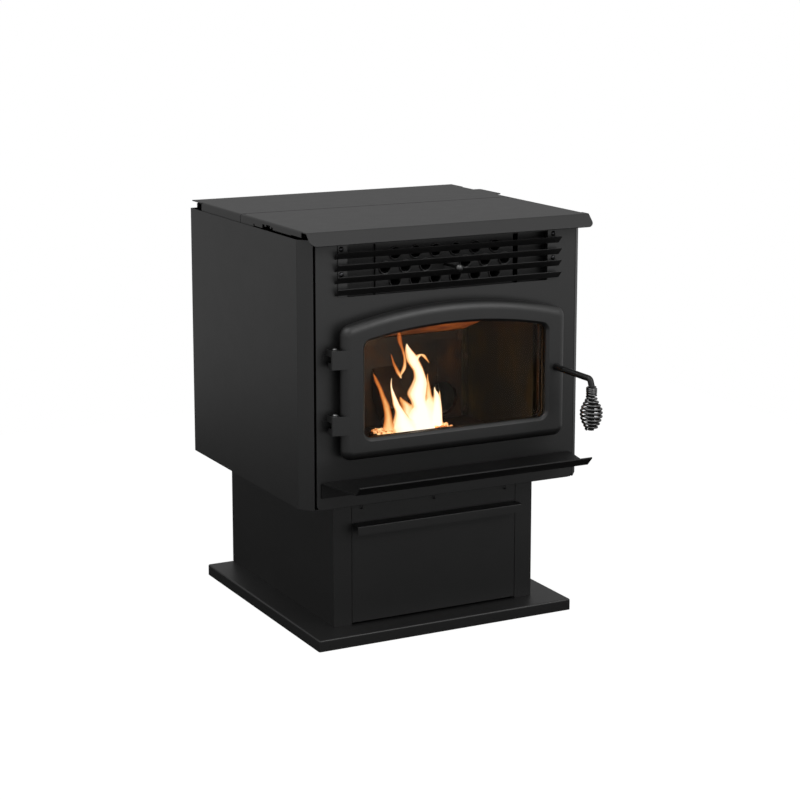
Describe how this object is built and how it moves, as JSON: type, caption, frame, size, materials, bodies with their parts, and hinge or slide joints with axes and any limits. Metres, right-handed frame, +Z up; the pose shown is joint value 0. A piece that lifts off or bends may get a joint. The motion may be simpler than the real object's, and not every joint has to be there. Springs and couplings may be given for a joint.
{
  "type": "pellet stove",
  "caption": "Free-standing black pellet stove with an arched cast glass door, louvred warm-air outlet, rear pellet hopper, ash lip and drawer on a pedestal base.",
  "frame": {"origin": "centre of the base's underside, on the floor", "axes": "+Z up, -Y out through the glass door, +X to the right seen from the front"},
  "size_m": [0.6299, 0.7471, 0.8],
  "materials": {
    "satin_black_sheet": "satin high-temperature black powder coat on folded sheet steel",
    "cast_iron_black": "satin black painted cast iron",
    "plain_steel": "plain drawn or pressed steel",
    "zinc_steel": "zinc plated steel",
    "sooty_liner": "heat-stained firebox lining, matt",
    "ceramic_glass": "clear ceramic window glass",
    "rope_gasket": "woven glass-fibre rope",
    "black_plastic": "moulded black plastic"
  },
  "bodies": {
    "cabinet": {"base_pan": "satin_black_sheet", "base_cross_rail": "satin_black_sheet", "pedestal_side_left": "satin_black_sheet", "pedestal_side_right": "satin_black_sheet", "drawer_runner_left": "plain_steel", "drawer_runner_right": "plain_steel", "pedestal_back": "satin_black_sheet", "side_panel_left": "satin_black_sheet", "side_panel_right": "satin_black_sheet", "bottom_pan": "satin_black_sheet", "back_panel": "satin_black_sheet", "power_inlet": "black_plastic", "front_panel": "satin_black_sheet", "louvre_grille": "satin_black_sheet", "grille_screw_1": "zinc_steel", "grille_screw_2": "zinc_steel", "grille_screw_3": "zinc_steel", "grille_screw_4": "zinc_steel", "top_plate": "satin_black_sheet", "ash_lip": "satin_black_sheet", "firebox_shell": "sooty_liner", "firebox_liner_left": "sooty_liner", "firebox_liner_right": "sooty_liner", "firebox_liner_back": "sooty_liner", "baffle_plate": "sooty_liner", "heat_exchanger": "satin_black_sheet", "outlet_filler_left": "satin_black_sheet", "outlet_filler_right": "satin_black_sheet", "burn_pot_support": "cast_iron_black", "air_box": "satin_black_sheet", "intake_pipe": "zinc_steel", "igniter": "zinc_steel", "pellet_hopper": "satin_black_sheet", "auger_tube": "plain_steel", "auger_motor": "plain_steel", "pellet_chute": "plain_steel", "exhaust_housing": "zinc_steel", "exhaust_motor": "plain_steel", "room_fan_housing": "zinc_steel", "room_fan_motor": "plain_steel", "hinge_bracket_upper": "satin_black_sheet", "hinge_bracket_lower": "satin_black_sheet", "latch_keeper": "plain_steel", "control_panel": "black_plastic"},
    "door": {"door_frame": "cast_iron_black", "door_glass": "ceramic_glass", "glass_retainer": "plain_steel", "door_gasket": "rope_gasket"},
    "latch": {"handle_rod": "cast_iron_black", "coil_grip": "plain_steel"},
    "lid": {"hopper_lid": "satin_black_sheet"},
    "drawer": {"ash_drawer": "satin_black_sheet", "drawer_handle": "satin_black_sheet"},
    "scraper": {"tube_scraper": "plain_steel", "scraper_knob": "plain_steel"},
    "pot": {"burn_pot": "cast_iron_black"},
    "auger": {"auger_screw": "plain_steel"},
    "exhaust_wheel": {"exhaust_impeller": "plain_steel"},
    "room_wheel": {"room_fan_wheel": "plain_steel"},
    "dial": {"control_dial": "black_plastic"}
  },
  "joints": [
    {"name": "door_hinge", "type": "hinge", "parent": "cabinet", "child": "door", "pos_m": [-0.2495, -0.291, 0.5], "axis": [0, 0, -1], "range_deg": [0, 110]},
    {"name": "latch_turn", "type": "hinge", "parent": "door", "child": "latch", "pos_m": [0.2167, -0.309, 0.5084], "axis": [0, -1, 0], "range_deg": [0, 90]},
    {"name": "lid_hinge", "type": "hinge", "parent": "cabinet", "child": "lid", "pos_m": [0, 0.2694, 0.79], "axis": [-1, 0, 0], "range_deg": [0, 75]},
    {"name": "drawer_slide", "type": "slide", "parent": "cabinet", "child": "drawer", "axis": [0, -1, 0], "range_m": [0, 0.36]},
    {"name": "scraper_slide", "type": "slide", "parent": "cabinet", "child": "scraper", "axis": [0, -1, 0], "range_m": [0, 0.2]},
    {"name": "pot_lift", "type": "slide", "parent": "cabinet", "child": "pot", "axis": [0, 0, 1], "range_m": [0, 0.06]},
    {"name": "auger_spin", "type": "hinge", "parent": "cabinet", "child": "auger", "pos_m": [0, 0.201, 0.42], "axis": [0, -0.7071, 0.7071], "continuous": true},
    {"name": "exhaust_spin", "type": "hinge", "parent": "cabinet", "child": "exhaust_wheel", "pos_m": [0.136, 0.124, 0.372], "axis": [1, 0, 0], "continuous": true},
    {"name": "room_fan_spin", "type": "hinge", "parent": "cabinet", "child": "room_wheel", "pos_m": [-0.2, 0.144, 0.392], "axis": [1, 0, 0], "continuous": true},
    {"name": "dial_turn", "type": "hinge", "parent": "cabinet", "child": "dial", "pos_m": [0.315, 0.174, 0.655], "axis": [1, 0, 0], "range_deg": [0, 270]}
  ]
}
